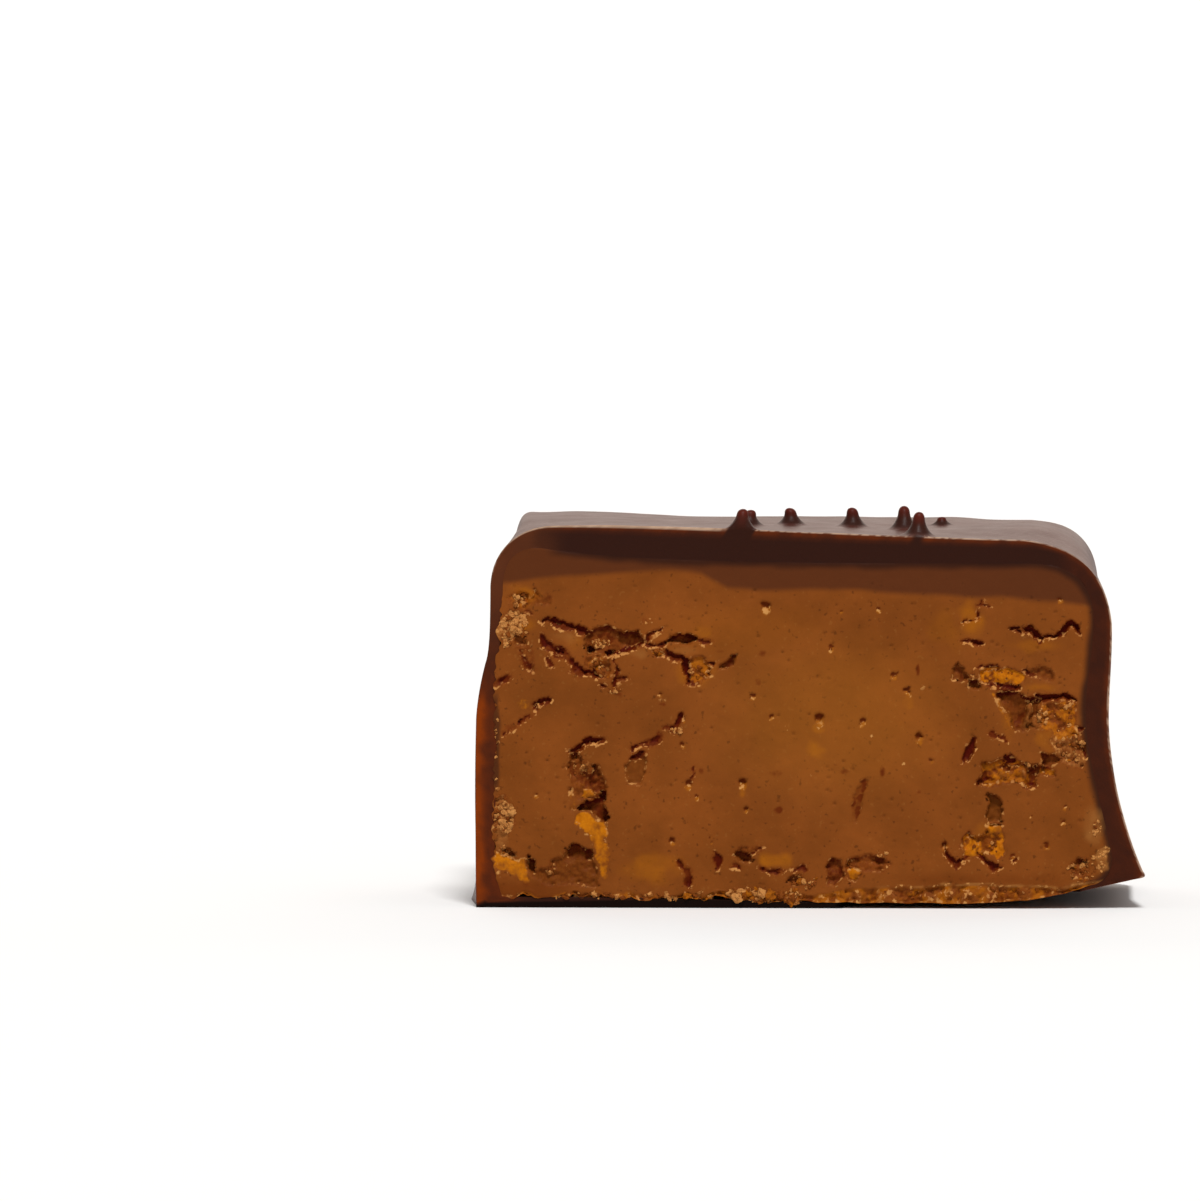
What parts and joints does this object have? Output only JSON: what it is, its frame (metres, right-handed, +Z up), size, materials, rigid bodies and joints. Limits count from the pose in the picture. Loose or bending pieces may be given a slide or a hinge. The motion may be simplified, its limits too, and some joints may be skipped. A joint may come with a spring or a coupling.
{
  "type": "chocolate bonbon",
  "caption": "Half of a square chocolate bonbon, cut upright: a thin dark coat with a ring of small peaks on top, around a crumbly praline filling with wafer flakes.",
  "frame": {"origin": "under the middle of the half bonbon's overall box, on the floor that it stands on", "axes": "+Z up; +X to the right as seen by someone facing the cut; +Y from the cut towards the back wall"},
  "size_m": [0.0282, 0.014, 0.0168],
  "materials": {
    "dark_chocolate": "satin",
    "praline": "matte"
  },
  "bodies": {
    "root": {"coat": "dark_chocolate", "filling": "praline"}
  },
  "joints": []
}
